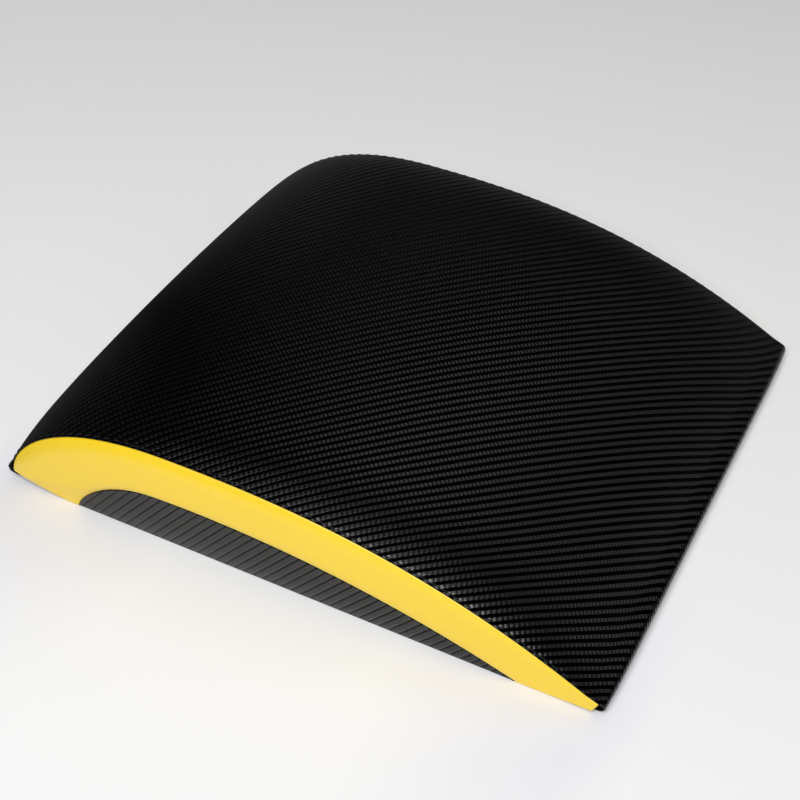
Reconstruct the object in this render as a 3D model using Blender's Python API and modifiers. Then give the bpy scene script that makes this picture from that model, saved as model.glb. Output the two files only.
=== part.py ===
"""An ab mat: a foam wedge that arches the lower back, in a sewn vinyl cover that zips shut across its underside.

The mat lies flat on the floor with its thick, rounded end (the nose) at -X and its thin end (the tail) at +X.
Every piece is modelled in the seam frame: x from the foremost point of the side seam, y from the middle of the
width, z from the floor. An empty moves that frame so that the middle of the mat is at the origin.
"""

import math

import bmesh
import bpy
import numpy as np

# Side seam, seen from the side
SEAM_LENGTH = 0.352
SEAM_WIDTH = 0.303
SEAM_HEIGHT = 0.0652
PEAK_FROM_NOSE = 0.1176
NOSE_HEIGHT = 0.0077
NOSE_UNDERCUT = 0.040
NOSE_UNDERCUT_SHARE = 1.5
NOSE_CURVE_SHARES = (2.4, 0.625)
BACK_CURVE_SHARE = 2.38

# Thin end: the top panel rolls round it and comes back under
TAIL_HEIGHT = 0.0079
TAIL_BLEND = 0.008
TAIL_ROLL_RADIUS = 0.0052
TAIL_REACH = 0.0034
TAIL_ROLL_START = math.radians(70)
TAIL_LIFT = 0.0010
TAIL_UNDERCUT = 0.031
TAIL_DRAW = 0.0008
TAIL_DRAW_HOLD_SHARE = 0.71
TAIL_DRAW_SHARE = 6

# Crown of the top panel across the width: a broad arch, and a quick roll-off along each side seam
CROWN_BROAD = 0.0038
CROWN_EDGE = 0.0080
CROWN_EDGE_SHARE = 9
NOSE_BROAD_SHARE = 1.30
NOSE_EDGE_SHARE = 0.05
UNDER_NOSE_SHARE = 3
BROAD_HOLD_SHARE = 0.60
EDGE_HOLD_SHARE = 0.85
TAIL_BROAD_SHARE = 0.02
TAIL_EDGE_SHARE = 0.39
EAR_REACH = 0.003
EAR_HEIGHT = 0.006
EAR_WIDTH_SHARE = 40

# Cloth and clearances
COVER_THICKNESS = 0.0012
CLEARANCE = 0.0003
END_SEAM_GAP = 0.0006
FOAM_EASE = 0.0006

# Side wall: a yellow band over a black insert
INSERT_HEIGHT = 0.0345
INSERT_FROM_NOSE = 0.0444
INSERT_FROM_TAIL = 0.0427
INSERT_PEAK_FROM_NOSE = 0.107
INSERT_CURVE_SHARES = (2.07, 0.756)
INSERT_BACK_SHARE = 2.25
INSERT_LATE_SHARES = (0.9, 0.985)
BAND_TIP_SETBACK = 0.003
SIDE_BULGE = 0.0015
BAND_PUFF = 0.0018
SIDE_BULGE_SHARE = 4
SIDE_ROW_SHARES = (0, 0.15, 0.4, 0.7, 0.9, 1)

# Foam
COMFORT_THICKNESS = 0.010
COMFORT_FILL_SHARE = 1.6
CORE_TIP_SETBACK = 0.003

# Underside: the base panels fold up into a shallow valley, where the zip lies clear of the floor
ZIP_FROM_NOSE = 0.075
ZIP_FROM_SIDE = 0.0415
VALLEY_DEPTH = 0.0065
VALLEY_SLOPE = 0.0085
VALLEY_LIP = 0.003
VALLEY_END = 0.002
VALLEY_FADE = 0.014
SLOT_WIDTH = 0.010
SLOT_FADE = 0.006

# Zip
TAPE_WIDTH = 0.013
TAPE_THICKNESS = 0.0006
TAPE_TAIL = 0.011
COIL_GAP = 0.0014
COIL_WIDTH = 0.0024
COIL_HEIGHT = 0.0016
COIL_TOOTH = 0.0008
COIL_PITCH = 0.0022
STOP_LENGTH = 0.0027
SLIDER_LENGTH = 0.012
SLIDER_PLATE = 0.0011
SLIDER_WIDTH = 0.0088
SLIDER_FLANGE = 0.001
SLIDER_POST_WIDTH = 0.0007
SLIDER_POST_LENGTH = 0.0025
SLIDER_OUTLINE_SHARES = ((0.30, -0.50), (0.44, -0.42), (0.50, -0.20), (0.42, 0.30), (0.36, 0.50))
BRIDGE_LENGTH = 0.009
BRIDGE_WIDTH = 0.0026
BRIDGE_WIRE = 0.0012
BRIDGE_OPENING = 0.002
PULL_WIDTH = 0.0075
PULL_LENGTH = 0.026
PULL_THICKNESS = 0.0012
PULL_WINDOW_WIDTH = 0.004
PULL_WINDOW_LENGTH = 0.0055
PULL_NARROW_SHARE = 0.72

# Thread
STITCH_FROM_SEAM = 0.002
THREAD_WIDTH = 0.0007
THREAD_THICKNESS = 0.0004
ZIP_STITCH_FROM_SLOT = 0.0015

# How finely the curves are divided
UNDER_NOSE_STEPS = 4
NOSE_STEPS = 10
BACK_STEPS = 13
ROLL_STEPS = 6
UNDER_TAIL_STEPS = 2
WIDTH_STEPS = 14
FOAM_WIDTH_STEPS = 10
SLOPE_STEPS = 5
FADE_STEPS = 4
SHARP_ANGLE = math.radians(40)

HALF_WIDTH = SEAM_WIDTH / 2
SIDE_INNER = HALF_WIDTH - COVER_THICKNESS
TAIL_ROLL_X = SEAM_LENGTH + TAIL_REACH - TAIL_ROLL_RADIUS
ZIP_HALF = HALF_WIDTH - ZIP_FROM_SIDE
TAPE_LOW = VALLEY_DEPTH + COVER_THICKNESS + CLEARANCE
COIL_LOW = TAPE_LOW + TAPE_THICKNESS + CLEARANCE
COIL_HIGH = COIL_LOW + COIL_HEIGHT
SLIDER_TOP = COIL_HIGH + CLEARANCE + SLIDER_PLATE
SLIDER_BOTTOM = TAPE_LOW - CLEARANCE - SLIDER_PLATE


def smooth(share):
    """0 at 0 and below, 1 at 1 and above, with level ends."""
    share = np.clip(share, 0, 1)
    return share * share * (3 - 2 * share)


def past(x, hold_share):
    """0 up to a share of the seam's length, and evenly up from there to 1 at its end."""
    return np.clip((x / SEAM_LENGTH - hold_share) / (1 - hold_share), 0, 1)


# Outlines in the side view

def nose_height(x):
    """Height of the side seam between the nose and its highest point: a superellipse."""
    bend, fullness = NOSE_CURVE_SHARES
    away = 1 - x / PEAK_FROM_NOSE
    return NOSE_HEIGHT + (SEAM_HEIGHT - NOSE_HEIGHT) * (1 - away**bend) ** fullness


def back_height(x):
    """Height of the side seam from its highest point down to the tail."""
    along = (x - PEAK_FROM_NOSE) / (SEAM_LENGTH - PEAK_FROM_NOSE)
    return SEAM_HEIGHT - (SEAM_HEIGHT - TAIL_HEIGHT) * along**BACK_CURVE_SHARE


def insert_height(x):
    """Height of the seam between the yellow band and the black insert."""
    bend, fullness = INSERT_CURVE_SHARES
    away = (INSERT_PEAK_FROM_NOSE - x) / (INSERT_PEAK_FROM_NOSE - INSERT_FROM_NOSE)
    end = SEAM_LENGTH - INSERT_FROM_TAIL
    along = (x - INSERT_PEAK_FROM_NOSE) / (end - INSERT_PEAK_FROM_NOSE)
    before = (1 - np.clip(away, 0, 1) ** bend) ** fullness
    after = 1 - np.clip(along, 0, 1) ** INSERT_BACK_SHARE
    return INSERT_HEIGHT * np.where(away > 0, before, after)


def tail_underside(x):
    """Height of the top panel's outer face where it comes back under the thin end."""
    start = SEAM_LENGTH - TAIL_UNDERCUT
    return TAIL_LIFT * (x - start) / (TAIL_ROLL_X - start)


def seam_path():
    """Rows of x, z and the shares of both crowns along the top panel, from under the nose to under the tail."""
    out = np.linspace(0, 1, UNDER_NOSE_STEPS, endpoint=False)
    growing = out**UNDER_NOSE_SHARE
    under_nose = (
        NOSE_UNDERCUT * (1 - out),
        NOSE_HEIGHT * out**NOSE_UNDERCUT_SHARE,
        NOSE_BROAD_SHARE * growing,
        NOSE_EDGE_SHARE * growing,
    )
    x = PEAK_FROM_NOSE * (1 - np.cos(np.linspace(0, math.pi / 2, NOSE_STEPS, endpoint=False)))
    z = nose_height(x)
    rise = (z - NOSE_HEIGHT) / (SEAM_HEIGHT - NOSE_HEIGHT)
    nose = (
        x,
        z,
        NOSE_BROAD_SHARE + (1 - NOSE_BROAD_SHARE) * rise,
        NOSE_EDGE_SHARE + (1 - NOSE_EDGE_SHARE) * rise,
    )
    x = np.linspace(PEAK_FROM_NOSE, SEAM_LENGTH - TAIL_BLEND, BACK_STEPS)
    past_broad = past(x, BROAD_HOLD_SHARE)
    past_edge = past(x, EDGE_HOLD_SHARE)
    back = (
        x,
        back_height(x),
        1 - (1 - TAIL_BROAD_SHARE) * past_broad,
        1 - (1 - TAIL_EDGE_SHARE) * past_edge**2,
    )
    turn = np.linspace(TAIL_ROLL_START, -math.pi / 2, ROLL_STEPS + 1)
    fading = np.linspace(1, 0, ROLL_STEPS + 1)
    roll = (
        TAIL_ROLL_X + TAIL_ROLL_RADIUS * np.cos(turn),
        TAIL_LIFT + TAIL_ROLL_RADIUS * (1 + np.sin(turn)),
        TAIL_BROAD_SHARE * fading,
        TAIL_EDGE_SHARE * fading,
    )
    x = np.linspace(TAIL_ROLL_X, SEAM_LENGTH - TAIL_UNDERCUT, UNDER_TAIL_STEPS + 1)[1:]
    flat = np.zeros(UNDER_TAIL_STEPS)
    under_tail = (x, tail_underside(x), flat, flat)
    return np.hstack([under_nose, nose, back, roll, under_tail]).T


def outward(points):
    """Unit normals of a side-view line that runs with its outside on the left."""
    along = np.gradient(points, axis=0)
    along /= np.linalg.norm(along, axis=1)[:, None]
    return np.stack([-along[:, 1], along[:, 0]], axis=1)


PATH = seam_path()
PATH_NORMALS = outward(PATH[:, :2])
NOSE_START = UNDER_NOSE_STEPS
BACK_END = UNDER_NOSE_STEPS + NOSE_STEPS + BACK_STEPS


def crown(v, path):
    """Rise of the top panel off the side seam at v, which runs from -1 at one side to 1 at the other."""
    broad = CROWN_BROAD * (1 - v**2)
    edge = CROWN_EDGE * (1 - abs(v) ** CROWN_EDGE_SHARE)
    return broad * path[:, 2] + edge * path[:, 3]


def ears():
    """How far each path point is pinched out at the side seam, where the nose's corner stands proud."""
    x, z = PATH[:, :2].T
    near = np.exp(-(((z - NOSE_HEIGHT) / EAR_HEIGHT) ** 2))
    return EAR_REACH * np.where(x < NOSE_UNDERCUT, near, 0) * np.clip(z / NOSE_HEIGHT, 0, 1)


def cushion_surface(y, depth=0.0, first=0, last=None):
    """Grid of points on the crowned surface, a depth under its outside, one row for each y."""
    path, normals, pinch = PATH[first:last], PATH_NORMALS[first:last], ears()[first:last]
    rows = []
    for place in y:
        v = np.clip(place / HALF_WIDTH, -1, 1)
        lift = crown(v, path) + pinch * abs(v) ** EAR_WIDTH_SHARE - depth
        drawn = TAIL_DRAW * (1 - abs(v) ** TAIL_DRAW_SHARE) * past(path[:, 0], TAIL_DRAW_HOLD_SHARE) ** 2
        x = path[:, 0] + normals[:, 0] * lift - drawn
        z = path[:, 1] + normals[:, 1] * lift
        rows.append(np.stack([x, np.full_like(x, place), z], axis=1))
    return np.array(rows)


def across(half, steps):
    """Places across the width, closer together towards the sides."""
    return half * np.sin(np.linspace(-math.pi / 2, math.pi / 2, steps + 1))


def panel_rows():
    """Places across the top panel: its two seams, its two stitch lines, and between these."""
    inside = across(HALF_WIDTH - STITCH_FROM_SEAM, WIDTH_STEPS - 2)
    return np.concatenate([[-HALF_WIDTH], inside, [HALF_WIDTH]])


# Scene, collections and materials

for old in list(bpy.data.objects):
    bpy.data.objects.remove(old, do_unlink=True)

mat_parts = bpy.data.collections.new("ab_mat")
mat_cutters = bpy.data.collections.new("ab_mat_cutters")
for collection in (mat_parts, mat_cutters):
    bpy.context.scene.collection.children.link(collection)

OUTER_X = cushion_surface(panel_rows())[:, :, 0]
seam_frame = bpy.data.objects.new("seam_frame", None)
seam_frame.location = (-(OUTER_X.min() + OUTER_X.max()) / 2, 0, 0)
mat_parts.objects.link(seam_frame)


def material(name, color, roughness, metallic=0.0):
    made = bpy.data.materials.new(name)
    made.use_nodes = True
    shader = made.node_tree.nodes["Principled BSDF"]
    shader.inputs["Base Color"].default_value = (*color, 1)
    shader.inputs["Roughness"].default_value = roughness
    shader.inputs["Metallic"].default_value = metallic
    return made


def add_object(name, mesh, finish, parent=seam_frame, location=(0, 0, 0), helper=False):
    """A new object in the mat's collection, or in the cutters' where it is only a helper."""
    made = bpy.data.objects.new(name, mesh)
    made.parent = parent
    made.location = location
    if helper:
        made.hide_render = True
        made.display_type = "WIRE"
        mat_cutters.objects.link(made)
    else:
        mesh.materials.append(material(name, *finish))
        mat_parts.objects.link(made)
    return made


def mesh_from(name, points, faces):
    """A mesh of the given faces, shaded smooth but for its sharp edges."""
    mesh = bpy.data.meshes.new(name)
    mesh.from_pydata([tuple(point) for point in points], [], faces)
    mesh.shade_smooth()
    mesh.set_sharp_from_angle(angle=SHARP_ANGLE)
    return mesh


def grid_faces(rows, columns, flip=False):
    """Quads over a grid of points stored row by row."""
    faces = []
    for r in range(rows - 1):
        for c in range(columns - 1):
            corner = r * columns + c
            face = (corner, corner + 1, corner + columns + 1, corner + columns)
            faces.append(face[::-1] if flip else face)
    return faces


def shell(name, grid, finish, flip=False):
    """A sewn panel: an open surface whose cloth thickness lies inside it."""
    rows, columns = grid.shape[:2]
    mesh = mesh_from(name, grid.reshape(-1, 3), grid_faces(rows, columns, flip))
    made = add_object(name, mesh, finish)
    cloth = made.modifiers.new("cloth", "SOLIDIFY")
    cloth.thickness = COVER_THICKNESS
    cloth.offset = -1
    cloth.use_even_offset = True
    return made


def loft(name, rings, finish):
    """A closed body through rings of points, one ring for each place across the width."""
    count, size = rings.shape[:2]
    faces = []
    for r in range(count - 1):
        for c in range(size):
            after = (c + 1) % size
            faces.append((r * size + c, r * size + after, (r + 1) * size + after, (r + 1) * size + c))
    faces.append(tuple(range(size - 1, -1, -1)))
    faces.append(tuple(range((count - 1) * size, count * size)))
    return add_object(name, mesh_from(name, rings.reshape(-1, 3), faces), finish)


def prism(name, outline, low, high, axis=2):
    """A mesh of a flat outline that runs from low to high along one axis."""
    mesh = bpy.data.meshes.new(name)
    shape = bmesh.new()
    corners = [shape.verts.new(np.insert(point, axis, low)) for point in outline]
    face = shape.faces.new(corners)
    moved = bmesh.ops.extrude_face_region(shape, geom=[face])["geom"]
    step = np.zeros(3)
    step[axis] = high - low
    bmesh.ops.translate(shape, verts=[g for g in moved if isinstance(g, bmesh.types.BMVert)], vec=step)
    bmesh.ops.recalc_face_normals(shape, faces=shape.faces)
    shape.to_mesh(mesh)
    shape.free()
    return mesh


def box_outline(x_low, x_high, y_low, y_high):
    return [(x_low, y_low), (x_high, y_low), (x_high, y_high), (x_low, y_high)]


BLACK_TWILL = ((0.012, 0.012, 0.013), 0.42)
YELLOW_VINYL = ((0.93, 0.68, 0.02), 0.38)
BASE_CLOTH = ((0.02, 0.02, 0.02), 0.85)
FIRM_FOAM = ((0.30, 0.31, 0.33), 0.95)
SOFT_FOAM = ((0.78, 0.78, 0.74), 0.95)
BLACK_TAPE = ((0.025, 0.025, 0.027), 0.8)
BLACK_COIL = ((0.03, 0.03, 0.032), 0.4)
ZIP_METAL = ((0.42, 0.42, 0.44), 0.3, 1.0)
GREY_THREAD = ((0.10, 0.10, 0.11), 0.6)


# Top panel: one cloth from under the nose, over the foam, to under the tail

shell("top_panel", cushion_surface(panel_rows()), BLACK_TWILL)


# Side walls: a yellow band round a black insert, set inside the edge of the top panel

def insert_seam():
    """Points of the insert's seam, from the floor near the nose to the floor near the tail."""
    turn = np.linspace(0, math.pi / 2, UNDER_NOSE_STEPS + NOSE_STEPS + 1, endpoint=False)
    before = INSERT_PEAK_FROM_NOSE - (INSERT_PEAK_FROM_NOSE - INSERT_FROM_NOSE) * np.cos(turn)
    even, late = INSERT_LATE_SHARES
    along = np.append(np.linspace(0, even, BACK_STEPS - 4), (late, 1))
    end = SEAM_LENGTH - INSERT_FROM_TAIL
    x = np.append(before, INSERT_PEAK_FROM_NOSE + (end - INSERT_PEAK_FROM_NOSE) * along)
    return np.stack([x, insert_height(x)], axis=1)


def band_edges():
    """The band's outer edge, inside the top panel, and its inner edge, on the insert's seam and the floor."""
    setback = COVER_THICKNESS + CLEARANCE
    followed = PATH[:BACK_END, :2] - PATH_NORMALS[:BACK_END] * setback
    start = (NOSE_UNDERCUT + END_SEAM_GAP, 0)
    outer = np.vstack([start, followed, (SEAM_LENGTH, TAIL_HEIGHT)])
    floor_end = SEAM_LENGTH - TAIL_UNDERCUT - END_SEAM_GAP
    tip = SEAM_LENGTH - BAND_TIP_SETBACK
    inner = np.vstack([insert_seam(), (floor_end, 0), (floor_end, setback), (tip, tail_underside(tip) + setback)])
    return outer, inner


def side_grid(lower, upper, bulge, side):
    """Grid between two side-view edges, pushed outwards by bulge(row share, column)."""
    rows = []
    for share in SIDE_ROW_SHARES:
        edge = lower + (upper - lower) * share
        out = side * (HALF_WIDTH + bulge(share))
        rows.append(np.stack([edge[:, 0], out, edge[:, 1]], axis=1))
    return np.array(rows)


def add_side(name, side):
    outer, inner = band_edges()
    seam_bulge = SIDE_BULGE * inner[:, 1] / INSERT_HEIGHT
    width = np.linalg.norm(outer - inner, axis=1)
    puff = BAND_PUFF * width / width.max()

    def band_bulge(share):
        return seam_bulge * (1 - share**SIDE_BULGE_SHARE) + puff * 4 * share * (1 - share)

    shell(f"side_band_{name}", side_grid(inner, outer, band_bulge, side), YELLOW_VINYL, flip=side > 0)

    seam = insert_seam()
    top = (seam - outward(seam) * CLEARANCE)[1:-1]
    floor = np.stack([top[:, 0], np.zeros(len(top))], axis=1)
    top_bulge = seam_bulge[1 : len(seam) - 1]

    def insert_bulge(share):
        return top_bulge * (1 - (1 - share) ** SIDE_BULGE_SHARE)

    shell(f"side_insert_{name}", side_grid(floor, top, insert_bulge, side), BLACK_TWILL, flip=side > 0)


for side_name, side_sign in (("right", -1), ("left", 1)):
    add_side(side_name, side_sign)


# Foam: a firm core with a channel for the zip, and a softer layer over it

def comfort_thickness(path):
    above = (path[:, 1] - NOSE_HEIGHT) / SEAM_HEIGHT
    return COMFORT_THICKNESS * np.clip(COMFORT_FILL_SHARE * above, 0, 1)


def add_comfort_layer():
    first = NOSE_START + 1
    outer_depth = COVER_THICKNESS + FOAM_EASE
    inner_depth = outer_depth + comfort_thickness(PATH[first:BACK_END])
    y = across(SIDE_INNER - FOAM_EASE, FOAM_WIDTH_STEPS)
    outer = cushion_surface(y, outer_depth, first, BACK_END)
    inner = cushion_surface(y, inner_depth, first, BACK_END)
    loft("comfort_layer", np.concatenate([outer, inner[:, ::-1]], axis=1), SOFT_FOAM)


def add_foam_core():
    depth = COVER_THICKNESS + FOAM_EASE + comfort_thickness(PATH[:BACK_END]) + FOAM_EASE
    y = across(SIDE_INNER - FOAM_EASE, FOAM_WIDTH_STEPS)
    top = cushion_surface(y, depth, 0, BACK_END)
    floor = COVER_THICKNESS + FOAM_EASE
    tip = SEAM_LENGTH - CORE_TIP_SETBACK
    channel = SLOT_WIDTH / 2 + VALLEY_LIP + VALLEY_SLOPE + FOAM_EASE
    channel_top = SLIDER_TOP + FOAM_EASE
    below = [
        (tip, TAIL_LIFT + TAIL_ROLL_RADIUS),
        (tip, tail_underside(tip) + floor),
        (SEAM_LENGTH - TAIL_UNDERCUT, floor),
        (ZIP_FROM_NOSE + channel, floor),
        (ZIP_FROM_NOSE + channel, channel_top),
        (ZIP_FROM_NOSE - channel, channel_top),
        (ZIP_FROM_NOSE - channel, floor),
        (NOSE_UNDERCUT, floor),
    ]
    rings = []
    for place, row in zip(y, top):
        bottom = [(x, place, z) for x, z in below]
        rings.append(np.vstack([row, bottom]))
    loft("foam_core", np.array(rings), FIRM_FOAM)


add_comfort_layer()
add_foam_core()


# Base panels: they meet in a seam near the sides and part between for the zip

def slot_half(y):
    """Half the opening between the base panels at each y."""
    inside = smooth((ZIP_HALF + SLOT_FADE + STOP_LENGTH - abs(y)) / SLOT_FADE)
    return (CLEARANCE + (SLOT_WIDTH - CLEARANCE) * inside) / 2


def valley_height(from_slot, y):
    """Height of the underside at a distance from the slot's edge."""
    end = SIDE_INNER - CLEARANCE - VALLEY_END
    along = smooth((end - abs(y)) / VALLEY_FADE)
    return VALLEY_DEPTH * along * smooth(1 - (from_slot - VALLEY_LIP) / VALLEY_SLOPE)


def base_rows():
    """Places across the width where the slot or the valley changes, and both sides of the middle."""
    edge = SIDE_INNER - CLEARANCE
    slot_end = ZIP_HALF + STOP_LENGTH
    valley_end = edge - VALLEY_END
    half = np.concatenate(
        [
            np.linspace(slot_end, slot_end + SLOT_FADE, FADE_STEPS),
            np.linspace(valley_end - VALLEY_FADE, valley_end, FADE_STEPS + 1),
            [edge],
        ]
    )
    return np.concatenate([-half[::-1], [0], half])


def add_base_panel(name, outer_edge, way):
    """One base panel from its outer edge to the slot; way is the direction from the slot to that edge."""
    rows = []
    for y in base_rows():
        slot_edge = ZIP_FROM_NOSE + way * slot_half(y)
        reach = abs(outer_edge - slot_edge)
        slope = VALLEY_LIP + VALLEY_SLOPE * np.linspace(0, 1, SLOPE_STEPS + 1)
        from_slot = np.concatenate([[0], slope, [(VALLEY_LIP + VALLEY_SLOPE + reach) / 2, reach]])
        x = slot_edge + way * from_slot
        rows.append(np.stack([x, np.full_like(x, y), valley_height(from_slot, y)], axis=1))
    shell(name, np.array(rows), BASE_CLOTH, flip=way > 0)


add_base_panel("base_panel_front", NOSE_UNDERCUT + END_SEAM_GAP, -1)
add_base_panel("base_panel_rear", SEAM_LENGTH - TAIL_UNDERCUT - END_SEAM_GAP, 1)


# Zip: its tapes lie on the base panels' inner faces, its coils on the tapes, and the slider shows in the slot

def coil_outline(way):
    """Plan of one coil row, with a tooth at each pitch towards the middle of the chain."""
    tip = way * COIL_GAP / 2
    root = tip + way * COIL_TOOTH
    back = tip + way * COIL_WIDTH
    end = ZIP_HALF - STOP_LENGTH - CLEARANCE
    teeth = int(2 * end / COIL_PITCH)
    start = -teeth * COIL_PITCH / 2
    outline = [(back, -start), (back, start)]
    for tooth in range(teeth):
        outline.append((root, start + tooth * COIL_PITCH))
        outline.append((tip, start + (tooth + 0.5) * COIL_PITCH))
    outline.append((root, -start))
    return outline


def add_zip_row(name, way):
    place = (ZIP_FROM_NOSE, 0, 0)
    near, far = sorted((way * COIL_GAP / 2, way * (COIL_GAP / 2 + TAPE_WIDTH)))
    tape_end = ZIP_HALF + TAPE_TAIL
    tape = prism("tape", box_outline(near, far, -tape_end, tape_end), TAPE_LOW, TAPE_LOW + TAPE_THICKNESS)
    add_object(f"zip_tape_{name}", tape, BLACK_TAPE, location=place)
    coil = prism("coil", coil_outline(way), COIL_LOW, COIL_HIGH)
    add_object(f"zip_coil_{name}", coil, BLACK_COIL, location=place)
    near, far = sorted((way * COIL_GAP / 2, way * (COIL_GAP / 2 + COIL_WIDTH)))
    stop = prism("stop", box_outline(near, far, -ZIP_HALF, STOP_LENGTH - ZIP_HALF), COIL_LOW, COIL_HIGH)
    add_object(f"zip_top_stop_{name}", stop, ZIP_METAL, location=place)


for row_name, row_way in (("front", -1), ("rear", 1)):
    add_zip_row(row_name, row_way)

stop_half = COIL_GAP / 2 + COIL_WIDTH
bottom_stop = prism(
    "bottom_stop", box_outline(-stop_half, stop_half, ZIP_HALF - STOP_LENGTH, ZIP_HALF), COIL_LOW, COIL_HIGH
)
add_object("zip_bottom_stop", bottom_stop, ZIP_METAL, location=(ZIP_FROM_NOSE, 0, 0))


def join_to(target, mesh):
    """Joins a helper mesh to the target with a Boolean union."""
    helper = add_object(f"{target.name}_{mesh.name}", mesh, None, parent=target, helper=True)
    union = target.modifiers.new(mesh.name, "BOOLEAN")
    union.operation = "UNION"
    union.object = helper


def add_slider():
    """Slider in its own frame: x and y from its middle, z from the floor."""
    right = [(x * SLIDER_WIDTH, y * SLIDER_LENGTH) for x, y in SLIDER_OUTLINE_SHARES]
    plate = right + [(-x, y) for x, y in reversed(right)]
    outer_top = SLIDER_BOTTOM + SLIDER_PLATE
    inner_bottom = SLIDER_TOP - SLIDER_PLATE
    closed_end = SLIDER_LENGTH / 2 - (ZIP_HALF - STOP_LENGTH - CLEARANCE)
    body = prism("outer_plate", plate, SLIDER_BOTTOM, outer_top)
    slider = add_object("zip_slider", body, ZIP_METAL, location=(ZIP_FROM_NOSE, closed_end, 0))
    join_to(slider, prism("inner_plate", plate, inner_bottom, SLIDER_TOP))

    bury = SLIDER_PLATE / 2
    front = -SLIDER_LENGTH / 2 + bury
    post_half = SLIDER_POST_WIDTH / 2
    post = box_outline(-post_half, post_half, front, front + SLIDER_POST_LENGTH)
    join_to(slider, prism("post", post, outer_top - bury, inner_bottom + bury))

    flange_in = COIL_GAP / 2 + COIL_WIDTH + CLEARANCE
    flange_half = SLIDER_LENGTH / 4
    for way, name in ((-1, "front_flange"), (1, "rear_flange")):
        near, far = sorted((way * flange_in, way * (flange_in + SLIDER_FLANGE)))
        flange = box_outline(near, far, -flange_half, flange_half)
        join_to(slider, prism(name, flange, COIL_LOW, inner_bottom + bury))

    foot, bend = BRIDGE_LENGTH / 2, BRIDGE_LENGTH / 2 - BRIDGE_WIRE
    low = SLIDER_BOTTOM - BRIDGE_OPENING
    bridge = [
        (-foot, SLIDER_BOTTOM + bury),
        (-foot, low),
        (-bend, low - BRIDGE_WIRE),
        (bend, low - BRIDGE_WIRE),
        (foot, low),
        (foot, SLIDER_BOTTOM + bury),
        (bend, SLIDER_BOTTOM + bury),
        (bend, low),
        (-bend, low),
        (-bend, SLIDER_BOTTOM + bury),
    ]
    join_to(slider, prism("bridge", bridge, -BRIDGE_WIDTH / 2, BRIDGE_WIDTH / 2, axis=0))
    return slider


def add_pull(slider):
    """Pull tab with its crossbar on the hinge axis, in the bridge, lying flat along the closed chain."""
    half, window = PULL_WIDTH / 2, PULL_WINDOW_WIDTH / 2
    bar = PULL_THICKNESS / 2
    neck = bar + PULL_WINDOW_LENGTH
    narrow = half * PULL_NARROW_SHARE
    outline = [(half, -bar), (half, neck), (narrow, neck + half), (narrow, PULL_LENGTH - half)]
    outline += [(narrow / 2, PULL_LENGTH - bar)]
    outline += [(-x, y) for x, y in reversed(outline)]
    hinge = (0, 0, SLIDER_BOTTOM - BRIDGE_OPENING / 2)
    tab = prism("tab", outline, -bar, bar)
    pull = add_object("zip_pull", tab, ZIP_METAL, parent=slider, location=hinge)
    cut = prism("window", box_outline(-window, window, bar, neck), -PULL_THICKNESS, PULL_THICKNESS)
    helper = add_object("zip_pull_window", cut, None, parent=pull, helper=True)
    opening = pull.modifiers.new("window", "BOOLEAN")
    opening.operation = "DIFFERENCE"
    opening.object = helper


add_pull(add_slider())


# Thread: each row of lockstitch lies on the cloth as one flat strand

def add_thread(name, line, outer, finish):
    """A flat strand along a line on the cloth, lifted clear of it along the outward directions."""
    along = np.gradient(line, axis=0)
    along /= np.linalg.norm(along, axis=1)[:, None]
    beside = np.cross(along, outer) * THREAD_WIDTH / 2
    low = line + outer * CLEARANCE
    high = low + outer * THREAD_THICKNESS
    rings = np.stack([low - beside, high - beside, high + beside, low + beside], axis=1)
    loft(name, rings, finish)


def add_topstitch(name, side):
    """The row on the top panel beside a side seam, from the nose to the thin end."""
    edge = side * (HALF_WIDTH - STITCH_FROM_SEAM)
    beside = side * THREAD_WIDTH
    inner, line, outer = cushion_surface([edge - beside, edge, edge + beside], 0, NOSE_START, BACK_END)
    up = np.cross(np.gradient(line, axis=0), side * (outer - inner))
    up /= np.linalg.norm(up, axis=1)[:, None]
    add_thread(f"topstitch_{name}", line, up, GREY_THREAD)


def add_zip_stitch(name, way):
    """The row that holds a zip tape to its base panel, on the outer face beside the slot."""
    x = ZIP_FROM_NOSE + way * (SLOT_WIDTH / 2 + ZIP_STITCH_FROM_SLOT)
    line = np.array([(x, -ZIP_HALF, VALLEY_DEPTH), (x, ZIP_HALF, VALLEY_DEPTH)])
    down = np.array([(0.0, 0.0, -1.0)] * len(line))
    add_thread(f"zip_stitch_{name}", line, down, GREY_THREAD)


for side_name, side_sign in (("right", -1), ("left", 1)):
    add_topstitch(side_name, side_sign)
for row_name, row_way in (("front", -1), ("rear", 1)):
    add_zip_stitch(row_name, row_way)
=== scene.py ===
"""An ab mat lying on a pale studio floor: a foam wedge in a black twill vinyl cover with yellow side bands.

The thick, rounded end (the nose) points to -X and the thin end (the tail) to +X. The sections follow the
mat as it is put together: foam, base panels, zip, side walls, top panel, topstitching.
"""

import math

import bmesh
import bpy
import numpy as np
from mathutils import Matrix, Vector


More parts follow.
